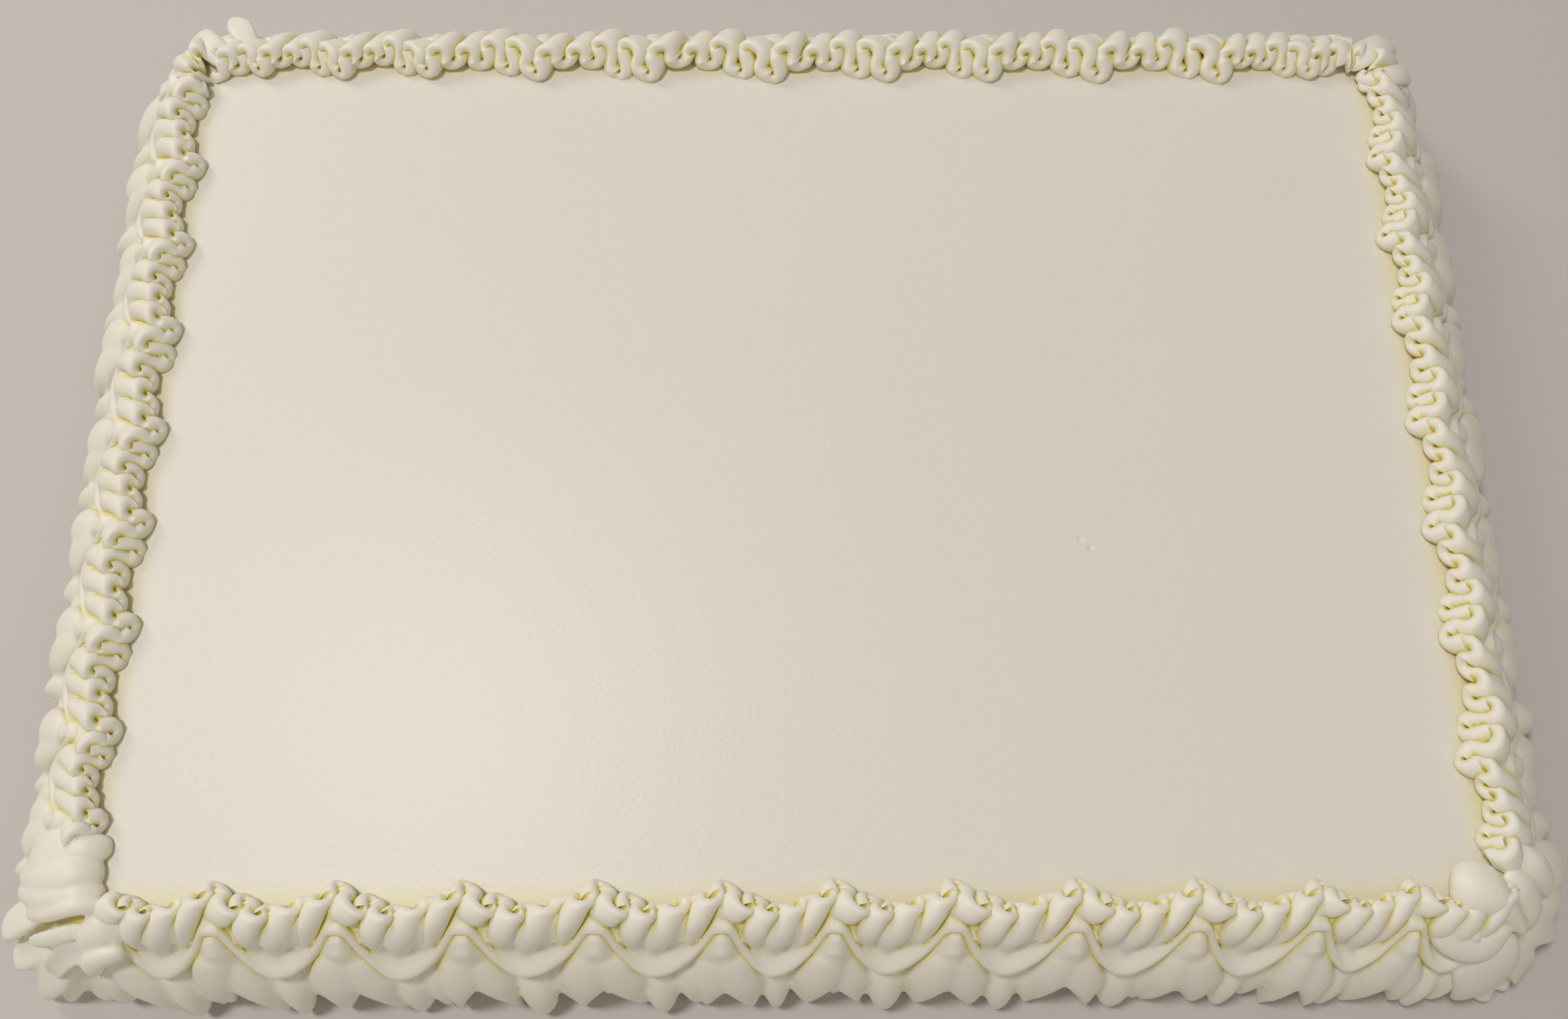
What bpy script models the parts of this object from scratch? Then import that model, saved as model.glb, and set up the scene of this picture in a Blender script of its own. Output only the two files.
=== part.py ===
"""A half sheet cake: a slab iced smooth in white whipped icing, with a ruffled swag piped
over its top edge and a row of petals piped round its foot. Metres, +Z up.

The two borders follow one line round the slab, which is cut into eight stretches: four
straight sides and four corners. A border's cross-section is worked out in two numbers,
inward (from the slab's side towards its middle, so outside the slab it is negative) and
height above the surface that the cake stands on.
"""

import math
import random

import bmesh
import bpy
from mathutils import Vector

# Driving dimensions of the slab
CAKE_LENGTH = 0.424
CAKE_WIDTH = 0.300
CAKE_HEIGHT = 0.045
CORNER_RADIUS = 0.021
EDGE_RADIUS = 0.008
EDGE_SEGMENTS = 2
CORNER_SEGMENTS = 6

# Touching pieces of icing are modelled with this gap
GAP = 0.0003

# How long each swag is, in the order in which they were piped, anticlockwise. The last
# one of a side takes what is left of it.
FRONT_SWAGS = (0.030, 0.035, 0.035, 0.037, 0.036, 0.031, 0.033, 0.034, 0.034, 0.034, 0.027)
RIGHT_SWAGS = (0.029, 0.036, 0.034, 0.034, 0.035, 0.030, 0.029)
BACK_SWAGS = (0.012, 0.031, 0.042, 0.037, 0.034, 0.039, 0.042, 0.038, 0.037, 0.029, 0.027)
LEFT_SWAGS = (0.032, 0.029, 0.030, 0.034, 0.030, 0.032, 0.031, 0.025)

# Ruffled swag over the top edge
LOW_POINT = 0.42
LIP_FALL = 0.0160
LIP_REACH = 0.0086

# The ruffle's inner end at a cusp, as (inward, height): a crease's loop lies on the flat
# top, and a fold's crest stands up further out. Both move out where the swag hangs.
CREASE_END = (0.0190, CAKE_HEIGHT + 0.0030)
CREST_END = (0.0155, CAKE_HEIGHT + 0.0085)
END_SHIFT = 0.0055
CREST_SINK = 0.0010

# The lower edge of the ruffle's bed, at a cusp and at a swag's low point
BED_EDGE = (
    (-0.0012, CAKE_HEIGHT - 0.0090),
    (-0.0026, CAKE_HEIGHT - 0.0138),
)

# Where each row of points lies along a swag, and how far up its fold (1 on a fold's
# ridge and 0 in a crease). Fat folds crowd each cusp and a low one fills the middle. A
# swag under SHORT_SWAG long has room for two folds.
SWAG_ROWS = (
    (0.05, 0.0),
    (0.12, 0.95),
    (0.22, 0.90),
    (0.29, 0.0),
    (0.36, 0.90),
    (0.45, 0.70),
    (0.53, 0.15),
    (0.65, 0.65),
    (0.77, 0.05),
    (0.85, 0.90),
    (0.95, 0.95),
)
SHORT_SWAG_ROWS = (
    (0.10, 0.0),
    (0.25, 0.9),
    (0.45, 0.8),
    (0.60, 0.0),
    (0.75, 0.9),
    (0.90, 0.9),
)
SHORT_SWAG = 0.020
# A swag shorter than this hangs less deep
FULL_SWAG = 0.026
# The pinched pleats of the front left corner and the smooth tongue of the front right one
PLEAT_ROWS = (
    (0.10, 0.1),
    (0.20, 1.0),
    (0.28, 0.9),
    (0.35, 0.0),
    (0.42, 0.9),
    (0.52, 1.0),
    (0.58, 0.0),
    (0.65, 1.0),
    (0.75, 0.9),
    (0.82, 0.1),
    (0.90, 0.9),
)
TONGUE_ROWS = (
    (0.08, 0.8),
    (0.18, 1.15),
    (0.30, 1.35),
    (0.42, 1.45),
    (0.54, 1.40),
    (0.66, 1.25),
    (0.76, 0.9),
    (0.82, 0.0),
    (0.90, 0.8),
)

# Petals round the foot. They part at their tips, and run together into a skirt above,
# which stands close under the ruffle's bed.
PETALS_PER_SWAG = 3
PETAL_REACH = 0.0150
PETAL_REACH_SHORT_SIDE = 0.0190
NOTCH_REACH = 0.0080
NOTCH_SHARE_ABOVE = 0.3
SKIRT_CLEARANCE = 0.0026
SKIRT_WAIST = 0.0155

HALF_LENGTH = CAKE_LENGTH / 2
HALF_WIDTH = CAKE_WIDTH / 2
QUARTER_TURN = math.pi / 2


class Side:
    """A straight stretch of the border line, from start along one side of the slab."""

    def __init__(self, start, along, swag_lengths, petal_reach, seed):
        self.start = Vector(start)
        self.along = Vector(along)
        self.outward = Vector((self.along.y, -self.along.x))
        reach = abs(self.along.x) * CAKE_LENGTH + abs(self.along.y) * CAKE_WIDTH
        self.length = reach - 2 * CORNER_RADIUS
        last = self.length - sum(swag_lengths)
        self.swag_lengths = (*swag_lengths, last)
        self.petal_reach = petal_reach
        self.seed = seed
        self.swag_rows = SWAG_ROWS
        self.trim = GAP / self.length

    def place(self, share, inward, height):
        spot = self.start + self.along * (share * self.length) - self.outward * inward
        return Vector((spot.x, spot.y, height))


class Corner:
    """A quarter turn of the border line about a corner's centre."""

    def __init__(self, centre, start_angle, swag_rows, seed):
        self.centre = Vector(centre)
        self.start_angle = start_angle
        self.length = QUARTER_TURN * CORNER_RADIUS
        self.swag_lengths = (self.length,)
        self.petal_reach = PETAL_REACH
        self.seed = seed
        self.swag_rows = swag_rows
        self.trim = 0.0

    def place(self, share, inward, height):
        angle = self.start_angle + share * QUARTER_TURN
        radius = max(CORNER_RADIUS - inward, 0.0004)
        spot = self.centre + Vector((math.cos(angle), math.sin(angle))) * radius
        return Vector((spot.x, spot.y, height))


def border_line():
    """The eight stretches by name, anticlockwise seen from above, from the front left."""
    in_x = HALF_LENGTH - CORNER_RADIUS
    in_y = HALF_WIDTH - CORNER_RADIUS
    far = PETAL_REACH_SHORT_SIDE
    return {
        "front": Side((-in_x, -HALF_WIDTH), (1, 0), FRONT_SWAGS, PETAL_REACH, 11),
        "front_right": Corner((in_x, -in_y), -QUARTER_TURN, TONGUE_ROWS, 12),
        "right": Side((HALF_LENGTH, -in_y), (0, 1), RIGHT_SWAGS, far, 13),
        "back_right": Corner((in_x, in_y), 0.0, SWAG_ROWS, 14),
        "back": Side((in_x, HALF_WIDTH), (-1, 0), BACK_SWAGS, PETAL_REACH, 15),
        "back_left": Corner((-in_x, in_y), QUARTER_TURN, SWAG_ROWS, 16),
        "left": Side((-HALF_LENGTH, in_y), (0, -1), LEFT_SWAGS, far, 17),
        "front_left": Corner((-in_x, -in_y), 2 * QUARTER_TURN, PLEAT_ROWS, 18),
    }


def mix(low, high, share):
    """The point that lies this share of the way from low to high."""
    return tuple(a + (b - a) * share for a, b in zip(low, high))


def icing(name, colour, roughness):
    material = bpy.data.materials.new(name)
    material.use_nodes = True
    shader = material.node_tree.nodes["Principled BSDF"]
    shader.inputs["Base Color"].default_value = (*colour, 1.0)
    shader.inputs["Roughness"].default_value = roughness
    shader.inputs["Metallic"].default_value = 0.0
    return material


def add_object(name, bm, material):
    """Turns a finished bmesh into the named piece, shaded smooth but for its creases."""
    bmesh.ops.recalc_face_normals(bm, faces=bm.faces)
    mesh = bpy.data.meshes.new(name)
    bm.to_mesh(mesh)
    bm.free()
    mesh.materials.append(material)
    mesh.shade_smooth()
    mesh.set_sharp_from_angle(angle=math.radians(50))
    piece = bpy.data.objects.new(name, mesh)
    bpy.context.scene.collection.objects.link(piece)
    return piece


def sweep(name, stretch, sections, material):
    """A closed solid along a stretch, given its cross-section at each share of it.

    It starts as a flat grid, one row for each cross-section, which is rolled up so that
    its first and last columns meet, and is then closed at both ends.
    """
    shares = sorted(sections)
    columns = len(sections[shares[0]])
    bm = bmesh.new()
    bmesh.ops.create_grid(bm, x_segments=columns, y_segments=len(shares) - 1, size=1.0)
    bm.verts.ensure_lookup_table()
    for row, share in enumerate(shares):
        for column in range(columns + 1):
            inward, height = sections[share][column % columns]
            vertex = bm.verts[row * (columns + 1) + column]
            vertex.co = stretch.place(share, inward, height)
    bmesh.ops.remove_doubles(bm, verts=bm.verts, dist=1e-6)
    bmesh.ops.holes_fill(bm, edges=bm.edges, sides=columns)
    return add_object(name, bm, material)


def trimmed(share, stretch):
    """The share, kept clear of the pieces at the stretch's two ends."""
    return min(max(share, stretch.trim), 1 - stretch.trim)


def swags_of(stretch):
    """Each swag's first and last share of the stretch, and how deep it hangs."""
    draw = random.Random(stretch.seed)
    swags = []
    first = 0.0
    for length in stretch.swag_lengths:
        last = first + length / stretch.length
        depth = draw.uniform(0.86, 1.0) * min(1.0, length / FULL_SWAG)
        swags.append((first, last, depth))
        first = last
    return swags


def swag_drop(phase):
    """How far a swag hangs: 0 at its two cusps and 1 at its low point."""
    if phase < LOW_POINT:
        half = 0.5 * phase / LOW_POINT
    else:
        half = 0.5 + 0.5 * (phase - LOW_POINT) / (1 - LOW_POINT)
    return math.sin(math.pi * half) ** 0.8


def bed_edge(drop):
    """The lower edge of the ruffle's bed."""
    return mix(*BED_EDGE, drop)


def ruffle_section(drop, fold):
    """The closed cross-section of the ruffle: its surface, its lip and its bed on the slab.

    drop says how far the swag hangs there, and fold is 1 on a ridge and 0 in a crease.
    """
    inner_end = mix(CREASE_END, CREST_END, fold)
    inner_end = (inner_end[0] - END_SHIFT * drop, inner_end[1] - CREST_SINK * fold * drop)
    foot = (inner_end[0] - 0.0006 - 0.0012 * fold, CAKE_HEIGHT + GAP)
    lip = (
        0.0050 - (0.0050 + LIP_REACH) * drop - 0.0012 * fold,
        CAKE_HEIGHT + 0.0024 - LIP_FALL * drop,
    )
    swell = (lip[0] + 0.0030 - 0.0030 * fold, inner_end[1] + 0.0022 + 0.0010 * fold)
    surface = []
    for across in (0.0, 0.35, 0.7, 1.0):
        near, middle, far = (1 - across) ** 2, 2 * across * (1 - across), across**2
        surface.append(
            tuple(
                near * a + middle * b + far * c
                for a, b, c in zip(inner_end, swell, lip)
            )
        )
    under_lip = mix(
        (0.0040, CAKE_HEIGHT + 0.0006), (-0.0060, CAKE_HEIGHT - 0.0150), drop
    )
    bed_foot = bed_edge(drop)
    diagonal = EDGE_RADIUS - (EDGE_RADIUS + GAP) * math.sqrt(0.5)
    bed = [
        bed_foot,
        (-GAP, bed_foot[1] - GAP),
        (-GAP, CAKE_HEIGHT - EDGE_RADIUS),
        (diagonal, CAKE_HEIGHT - diagonal),
        (EDGE_RADIUS, CAKE_HEIGHT + GAP),
    ]
    return [foot, *surface, under_lip, *bed]


def ruffle(name, stretch, material):
    """The ruffled swag piped along one stretch."""
    sections = {}
    for first, last, depth in swags_of(stretch):
        short = (last - first) * stretch.length < SHORT_SWAG
        for phase, fold in SHORT_SWAG_ROWS if short else stretch.swag_rows:
            share = trimmed(first + (last - first) * phase, stretch)
            sections[share] = ruffle_section(depth * swag_drop(phase), fold)
    for end in (0.0, 1.0):
        sections[trimmed(end, stretch)] = ruffle_section(0.0, 0.8)
    return sweep(name, stretch, sections, material)


def petal_section(drop, reach, full_reach):
    """The closed cross-section of the foot border where its foot reaches this far out."""
    top = bed_edge(drop)[1] - SKIRT_CLEARANCE
    body = full_reach - NOTCH_SHARE_ABOVE * (full_reach - reach)
    return [
        (-GAP, top),
        (-0.0030 - 0.42 * body, top - 0.0050),
        (-0.0015 - 0.80 * body, SKIRT_WAIST),
        (-reach, 0.0060),
        (0.0030 - reach, 0.0),
        (-GAP, 0.0),
    ]


def petals(name, stretch, material):
    """The row of petals piped along one stretch of the foot."""
    draw = random.Random(stretch.seed + 100)
    sections = {}
    for first, last, depth in swags_of(stretch):
        short = (last - first) * stretch.length < SHORT_SWAG
        count = 1 if short else PETALS_PER_SWAG
        ends = [0.0]
        for number in range(1, count):
            ends.append((number + draw.uniform(-0.18, 0.18)) / count)
        ends.append(1.0)
        for start, end in zip(ends[:-1], ends[1:]):
            reach = stretch.petal_reach * draw.uniform(0.88, 1.06)
            slant = draw.uniform(-0.0022, 0.0016)
            for place, out in (
                (0.0, NOTCH_REACH),
                (0.30, reach - slant),
                (0.70, reach + slant),
            ):
                phase = start + (end - start) * place
                share = trimmed(first + (last - first) * phase, stretch)
                drop = depth * swag_drop(phase)
                sections[share] = petal_section(drop, out, stretch.petal_reach)
    sections[trimmed(1.0, stretch)] = petal_section(0.0, NOTCH_REACH, stretch.petal_reach)
    return sweep(name, stretch, sections, material)


def slab(material):
    """The iced slab: a box with round corners, whose top edge is rounded over."""
    bm = bmesh.new()
    bmesh.ops.create_cube(bm, size=1.0)
    bmesh.ops.scale(bm, vec=(CAKE_LENGTH, CAKE_WIDTH, CAKE_HEIGHT), verts=bm.verts)
    bmesh.ops.translate(bm, vec=(0, 0, CAKE_HEIGHT / 2), verts=bm.verts)
    uprights = [e for e in bm.edges if abs(e.verts[0].co.z - e.verts[1].co.z) > GAP]
    bmesh.ops.bevel(
        bm,
        geom=uprights,
        offset=CORNER_RADIUS,
        segments=CORNER_SEGMENTS,
        profile=0.5,
        affect="EDGES",
        material=-1,
    )
    top_edges = [
        e for e in bm.edges if all(v.co.z > CAKE_HEIGHT - GAP for v in e.verts)
    ]
    bmesh.ops.bevel(
        bm,
        geom=top_edges,
        offset=EDGE_RADIUS,
        segments=EDGE_SEGMENTS,
        profile=0.5,
        affect="EDGES",
        material=-1,
    )
    return add_object("iced_cake", bm, material)


def centre_over_origin(pieces):
    """Moves all the pieces sideways together until their box is centred on the origin."""
    points = [v.co for piece in pieces for v in piece.data.vertices]
    shift_x = -(min(p.x for p in points) + max(p.x for p in points)) / 2
    shift_y = -(min(p.y for p in points) + max(p.y for p in points)) / 2
    for piece in pieces:
        for vertex in piece.data.vertices:
            vertex.co.x += shift_x
            vertex.co.y += shift_y


def main():
    for old in list(bpy.data.objects):
        bpy.data.objects.remove(old, do_unlink=True)
    smooth_icing = icing("smooth_icing", (0.86, 0.82, 0.72), 0.45)
    piped_icing = icing("piped_icing", (0.90, 0.87, 0.76), 0.38)
    pieces = [slab(smooth_icing)]
    for place, stretch in border_line().items():
        pieces.append(ruffle(f"top_ruffle_{place}", stretch, piped_icing))
        pieces.append(petals(f"foot_petals_{place}", stretch, piped_icing))
    centre_over_origin(pieces)


main()
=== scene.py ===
"""The looks of a half sheet cake: white whipped icing spread flat, a ruffled swag piped over
the top edge, and a row of petals piped round the foot. Lengths in the shape functions are in
millimetres, and become metres where a point is placed."""

import math
import random
from collections import namedtuple

import bmesh
import bpy
import numpy as np
from mathutils import Matrix, Vector
from mathutils.bvhtree import BVHTree


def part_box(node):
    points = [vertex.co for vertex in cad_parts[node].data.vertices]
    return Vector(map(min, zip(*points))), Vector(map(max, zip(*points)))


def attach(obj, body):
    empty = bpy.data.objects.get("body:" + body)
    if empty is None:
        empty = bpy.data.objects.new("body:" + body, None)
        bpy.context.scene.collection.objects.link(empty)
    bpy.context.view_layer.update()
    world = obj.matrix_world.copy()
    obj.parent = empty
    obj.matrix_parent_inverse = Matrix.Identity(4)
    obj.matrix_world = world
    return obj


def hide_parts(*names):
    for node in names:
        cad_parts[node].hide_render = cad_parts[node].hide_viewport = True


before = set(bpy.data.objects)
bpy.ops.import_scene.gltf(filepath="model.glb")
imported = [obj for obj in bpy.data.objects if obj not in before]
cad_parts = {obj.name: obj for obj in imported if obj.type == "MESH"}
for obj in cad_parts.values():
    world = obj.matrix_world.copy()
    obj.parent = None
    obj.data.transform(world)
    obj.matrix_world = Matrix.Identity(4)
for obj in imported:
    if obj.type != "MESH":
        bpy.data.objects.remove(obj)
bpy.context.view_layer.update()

MM = 0.001

# The slab and the border line, as in the part
CAKE_LENGTH = 424.0
CAKE_WIDTH = 300.0
CAKE_HEIGHT = 45.0
CORNER_RADIUS = 21.0
HALF_LENGTH = CAKE_LENGTH / 2
HALF_WIDTH = CAKE_WIDTH / 2
QUARTER_TURN = math.pi / 2

# The part lies moved sideways a little from the origin, so the shapes are shifted to be centred on
# its box
slab_low, slab_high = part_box("iced_cake")
SLAB_SHIFT = (Vector(slab_low) + Vector(slab_high)) / 2
SLAB_SHIFT.z = 0.0

# The share of a swag at each of its cusps that doesn't hang, and the phase of its low point
STEP = 0.055
LOW_POINT = 0.42
# The length in mm from which a swag hangs its full depth
FULL_SWAG = 26.0
# How far a border runs on past its stretch's ends, to meet the next one
RUN_ON = 2.5
# The least height of a petal above the floor
FOOT_GAP = 0.4


# Where one swag meets the next, from the stretch's start, in each stretch's own direction
CUSPS = {
    "front": (0, 29.8, 64.5, 99.3, 136.4, 172.0, 203.2, 236.5, 270.8, 304.6, 338.2, 364.9, 392),
    "back": (0, 12, 43, 85, 122, 156, 195, 237, 275, 312, 341, 368, 382),
    "left": (0, 32, 61, 91, 125, 155, 187, 218, 243, 268),
    "right": (0, 29, 65, 99, 133, 168, 198, 227, 258),
}

# The ribbon's mean line in (inward, height above the slab), from its rim to its lip
SHEET_AT_CUSP = (
    (14.6, 3.9),
    (12.9, 3.4),
    (10.8, 2.9),
    (9.0, 2.3),
    (7.4, 1.6),
    (6.2, 1.1),
    (4.0, 0.8),
)
SHEET_AT_LOW = (
    (9.6, 4.2),
    (7.2, 3.4),
    (3.6, 1.4),
    (0.0, -2.0),
    (-2.7, -7.2),
    (-4.3, -11.2),
    (-7.0, -13.4),
)
FRONT_SHEET_AT_CUSP = (
    (15.4, 3.9),
    (14.0, 3.6),
    (12.4, 3.1),
    (11.0, 2.6),
    (9.8, 2.1),
    (8.6, 1.7),
    (6.4, 1.2),
)
FRONT_SHEET_AT_LOW = (
    (9.6, 4.2),
    (7.4, 3.6),
    (4.2, 1.6),
    (1.2, -2.4),
    (-0.6, -7.4),
    (-2.0, -11.2),
    (-6.2, -13.6),
)
# How much of the rim's folds is left at each of those points, at a cusp and at a low point
FOLDS_AT_CUSP = (1.0, 0.97, 0.88, 0.7, 0.42, 0.12, 0.05)
FOLDS_AT_LOW = (1.0, 0.98, 0.82, 0.54, 0.26, 0.05, 0.0)
FRONT_FOLDS_AT_LOW = (1.0, 0.96, 0.74, 0.40, 0.12, 0.0, 0.0)
SIDE_FOLDS_AT_CUSP = (1.0, 0.90, 0.66, 0.38, 0.16, 0.05, 0.0)
SIDE_FOLDS_AT_LOW = (1.0, 0.86, 0.56, 0.28, 0.10, 0.02, 0.0)
# The way a fold stands out from the mean line, as inward and up
FOLD_WAY = (-0.80, 0.60)
# How much of a hollow's depth also goes down
HOLLOW_SINK = 0.3
# How far the rim runs ahead of the lip along the border
LEAN = 5.0

# Where the rim turns in one swag, as phase and swing. A positive swing is a fold that
# stands up and outward, a negative one a loop that lies on the flat top.
RIM_TURNS = (
    (0.05, -1.15),
    (0.17, 0.90),
    (0.30, -1.55),
    (0.41, 0.75),
    (0.53, -0.90),
    (0.65, 0.35),
    (0.78, -0.55),
    (0.91, 0.90),
)
FRONT_TURNS = (
    (0.04, -1.15),
    (0.16, 1.05),
    (0.28, -1.15),
    (0.38, 0.75),
    (0.49, -0.55),
    (0.63, 0.30),
    (0.77, -0.60),
    (0.90, 1.00),
)
CORNER_TURNS = (
    (0.08, 0.5),
    (0.26, -0.7),
    (0.44, 0.8),
    (0.62, -0.6),
    (0.80, 0.8),
    (0.95, -0.5),
)
# A swag too short for all of those folds, and the length in mm below which it is
SHORT_TURNS = ((0.10, -1.15), (0.36, 0.90), (0.62, -1.20), (0.86, 0.90))
SHORT_SWAG = 18.0
# How wide such a swag's folds are, and the length of a usual swag
SHORT_ROOM = 0.8
USUAL_SWAG = 33.0
# Hollows pressed in the middle of a front swag: phase, share of the way down, their
# half sizes in those two, and depth
FRONT_HOLLOWS = (
    (0.36, 0.62, 0.060, 0.15, 1.7),
    (0.55, 0.66, 0.065, 0.15, 1.9),
    (0.76, 0.48, 0.070, 0.12, 1.0),
)

# How a stretch is piped
Look = namedtuple(
    "Look", "swing width_share rim_thickness lip_swell turns sheet folds hollows petal_reach"
)
SHEET = (SHEET_AT_CUSP, SHEET_AT_LOW)
FRONT_SHEET = (FRONT_SHEET_AT_CUSP, FRONT_SHEET_AT_LOW)
FRONT_FOLDS = (FOLDS_AT_CUSP, FRONT_FOLDS_AT_LOW)
BACK_FOLDS = (FOLDS_AT_CUSP, FOLDS_AT_LOW)
SIDE_FOLDS = (SIDE_FOLDS_AT_CUSP, SIDE_FOLDS_AT_LOW)
FRONT_LOOK = Look(
    6.8, 0.8, 4.2, 2.0, FRONT_TURNS, FRONT_SHEET, FRONT_FOLDS, FRONT_HOLLOWS, 1.04
)
BACK_LOOK = Look(9.4, 1.0, 4.6, 0.8, RIM_TURNS, SHEET, BACK_FOLDS, (), 1.0)
SIDE_LOOK = Look(8.4, 1.0, 4.8, 0.8, RIM_TURNS, SHEET, SIDE_FOLDS, (), 1.42)
CORNER_LOOK = SIDE_LOOK._replace(swing=6.8, turns=CORNER_TURNS, petal_reach=1.1)
SHEET_THICKNESS = 1.9


class Stretch:
    """A part of the border line, with its swags as (first, last, depth) in mm along it."""

    def __init__(self, seed, cusps, look):
        draw = random.Random(seed)
        self.seed = seed
        self.look = look
        self.end = max(self.length, cusps[-1])
        self.swags = [
            (first, last, draw.uniform(0.88, 1.0) * min(1.0, (last - first) / FULL_SWAG))
            for first, last in zip(cusps[:-1], cusps[1:])
        ]

    def place(self, run, inward, height):
        spot = self.spot(run, inward)
        return Vector((spot.x * MM, spot.y * MM, height * MM)) + SLAB_SHIFT


class Side(Stretch):
    """A straight stretch, from start along one side of the slab."""

    def __init__(self, start, along, *rest):
        self.start = Vector(start)
        self.along = Vector(along)
        self.outward = Vector((self.along.y, -self.along.x))
        reach = abs(self.along.x) * CAKE_LENGTH + abs(self.along.y) * CAKE_WIDTH
        self.length = reach - 2 * CORNER_RADIUS
        super().__init__(*rest)

    def spot(self, run, inward):
        return self.start + self.along * run - self.outward * inward


class Corner(Stretch):
    """A quarter turn of the border line about a corner's centre."""

    def __init__(self, centre, start_angle, seed):
        self.centre = Vector(centre)
        self.start_angle = start_angle
        self.length = QUARTER_TURN * CORNER_RADIUS
        super().__init__(seed, (0.0, self.length), CORNER_LOOK)

    def spot(self, run, inward):
        angle = self.start_angle + run / CORNER_RADIUS
        radius = max(CORNER_RADIUS - inward, 0.0)
        return self.centre + Vector((math.cos(angle), math.sin(angle))) * radius


# Where the left ribbon's folds give way to the front left corner's, along it in mm
LEFT_FOLDS_END = 249.0


def border_line():
    """The eight stretches by name, anticlockwise seen from above, from the front left."""
    in_x = HALF_LENGTH - CORNER_RADIUS
    in_y = HALF_WIDTH - CORNER_RADIUS
    line = {
        "front": Side((-in_x, -HALF_WIDTH), (1, 0), 11, CUSPS["front"], FRONT_LOOK),
        "front_right": Corner((in_x, -in_y), -QUARTER_TURN, 12),
        "right": Side((HALF_LENGTH, -in_y), (0, 1), 13, CUSPS["right"], SIDE_LOOK),
        "back_right": Corner((in_x, in_y), 0.0, 14),
        "back": Side((in_x, HALF_WIDTH), (-1, 0), 15, CUSPS["back"], BACK_LOOK),
        "back_left": Corner((-in_x, in_y), QUARTER_TURN, 16),
        "left": Side((-HALF_LENGTH, in_y), (0, -1), 17, CUSPS["left"], SIDE_LOOK),
        "front_left": Corner((-in_x, -in_y), 2 * QUARTER_TURN, 18),
    }
    line["left"].end = LEFT_FOLDS_END
    return line


class Socket:
    """A node's output socket, which adds Math nodes when it is calculated with."""

    def __init__(self, sheet, link):
        self.sheet = sheet
        self.link = link

    def math(self, operation, *others):
        return self.sheet.node("ShaderNodeMath", {"operation": operation}, self, *others)

    def __sub__(self, other):
        return self.math("SUBTRACT", other)


class Recipe:
    """A material's node tree. node() makes any node and returns its first output."""

    def __init__(self, name):
        self.material = bpy.data.materials.new(name)
        self.material.use_nodes = True
        self.tree = self.material.node_tree
        self.shader = self.tree.nodes["Principled BSDF"]

    def node(self, kind, settings, *inputs, output=0, **named):
        made = self.tree.nodes.new(kind)
        for key, value in settings.items():
            if key == "stops":
                ramp = made.color_ramp
                while len(ramp.elements) > 1:
                    ramp.elements.remove(ramp.elements[0])
                ramp.elements[0].position, ramp.elements[0].color = value[0]
                for place, tint in value[1:]:
                    ramp.elements.new(place).color = tint
            else:
                setattr(made, key, value)
        for index, value in enumerate(inputs):
            self.feed(made.inputs[index], value)
        for key, value in named.items():
            self.feed(made.inputs[key.replace("_", " ")], value)
        return Socket(self, made.outputs[output])

    def feed(self, socket, value):
        if isinstance(value, Socket):
            self.tree.links.new(value.link, socket)
        else:
            socket.default_value = value

    def mix(self, share, first, second):
        """Mixes two colours."""
        made = self.tree.nodes.new("ShaderNodeMix")
        made.data_type = "RGBA"
        self.feed(made.inputs["Factor"], share)
        self.feed(made.inputs[6], first)
        self.feed(made.inputs[7], second)
        return Socket(self, made.outputs[2])

    def set(self, **values):
        for key, value in values.items():
            self.feed(self.shader.inputs[key.replace("_", " ")], value)


def colour(red, green, blue):
    return (red, green, blue, 1.0)


# The two small dimples in the flat top
DIMPLES = ((88.6, -31.9, CAKE_HEIGHT), (91.5, -34.6, CAKE_HEIGHT))
DIMPLE_RADIUS = 1.7
# Half the size of the flat top, and how far inside and outside its edge it turns yellower with
# painted shade
FIELD_HALF_LENGTH = 192.0
FIELD_HALF_WIDTH = 131.0
YELLOW_INSIDE = 2.0
YELLOW_OUTSIDE = 9.0
FIELD_TONES = ((0.84, 0.805, 0.735), (0.865, 0.835, 0.765))
# Painted shade: the yellower tone of the field in the shade beside the borders
FIELD_EDGE_SHADE = (0.84, 0.78, 0.50)
# How deep light goes into icing before it comes out again
SCATTER_DEPTH = 0.004


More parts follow.
